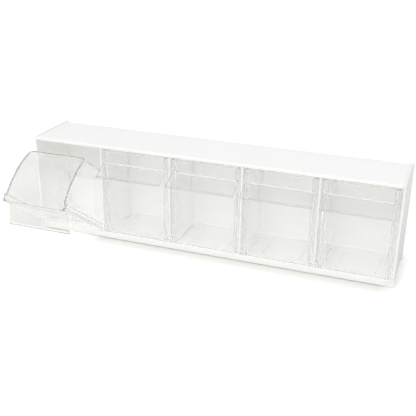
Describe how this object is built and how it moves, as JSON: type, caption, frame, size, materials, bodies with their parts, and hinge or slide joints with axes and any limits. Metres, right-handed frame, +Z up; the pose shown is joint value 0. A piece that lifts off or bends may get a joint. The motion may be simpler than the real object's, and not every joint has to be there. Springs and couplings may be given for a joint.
{
  "type": "tilt bin organizer",
  "caption": "Wide white housing for a shelf or wall, with a row of clear bins that tilt forward on moulded pivots, each with an arched rim and a finger flap, for sorting small parts.",
  "frame": {"origin": "centre of the housing's rectangular footprint, on the surface it stands on", "axes": "+X to the right along the row of bins, +Y to the back, +Z up"},
  "size_m": [0.6048, 0.2168, 0.163],
  "materials": {
    "housing_white": "satin moulded polystyrene",
    "bin_clear": "clear moulded polystyrene"
  },
  "bodies": {
    "housing": {"base_tray": "housing_white", "back_panel": "housing_white", "top_panel": "housing_white", "left_end_panel": "housing_white", "right_end_panel": "housing_white", "divider_1": "housing_white", "divider_2": "housing_white", "divider_3": "housing_white", "divider_4": "housing_white"},
    "bin_1": {"bin_1": "bin_clear"},
    "bin_2": {"bin_2": "bin_clear"},
    "bin_3": {"bin_3": "bin_clear"},
    "bin_4": {"bin_4": "bin_clear"},
    "bin_5": {"bin_5": "bin_clear"}
  },
  "joints": [
    {"name": "bin_1_tilt", "type": "hinge", "parent": "housing", "child": "bin_1", "pos_m": [-0.2388, -0.0425, 0.0147], "axis": [1, 0, 0], "range_deg": [-55, 0]},
    {"name": "bin_2_tilt", "type": "hinge", "parent": "housing", "child": "bin_2", "pos_m": [-0.1194, -0.0425, 0.0147], "axis": [1, 0, 0], "range_deg": [0, 55]},
    {"name": "bin_3_tilt", "type": "hinge", "parent": "housing", "child": "bin_3", "pos_m": [0, -0.0425, 0.0147], "axis": [1, 0, 0], "range_deg": [0, 55]},
    {"name": "bin_4_tilt", "type": "hinge", "parent": "housing", "child": "bin_4", "pos_m": [0.1194, -0.0425, 0.0147], "axis": [1, 0, 0], "range_deg": [0, 55]},
    {"name": "bin_5_tilt", "type": "hinge", "parent": "housing", "child": "bin_5", "pos_m": [0.2388, -0.0425, 0.0147], "axis": [1, 0, 0], "range_deg": [0, 55]}
  ]
}
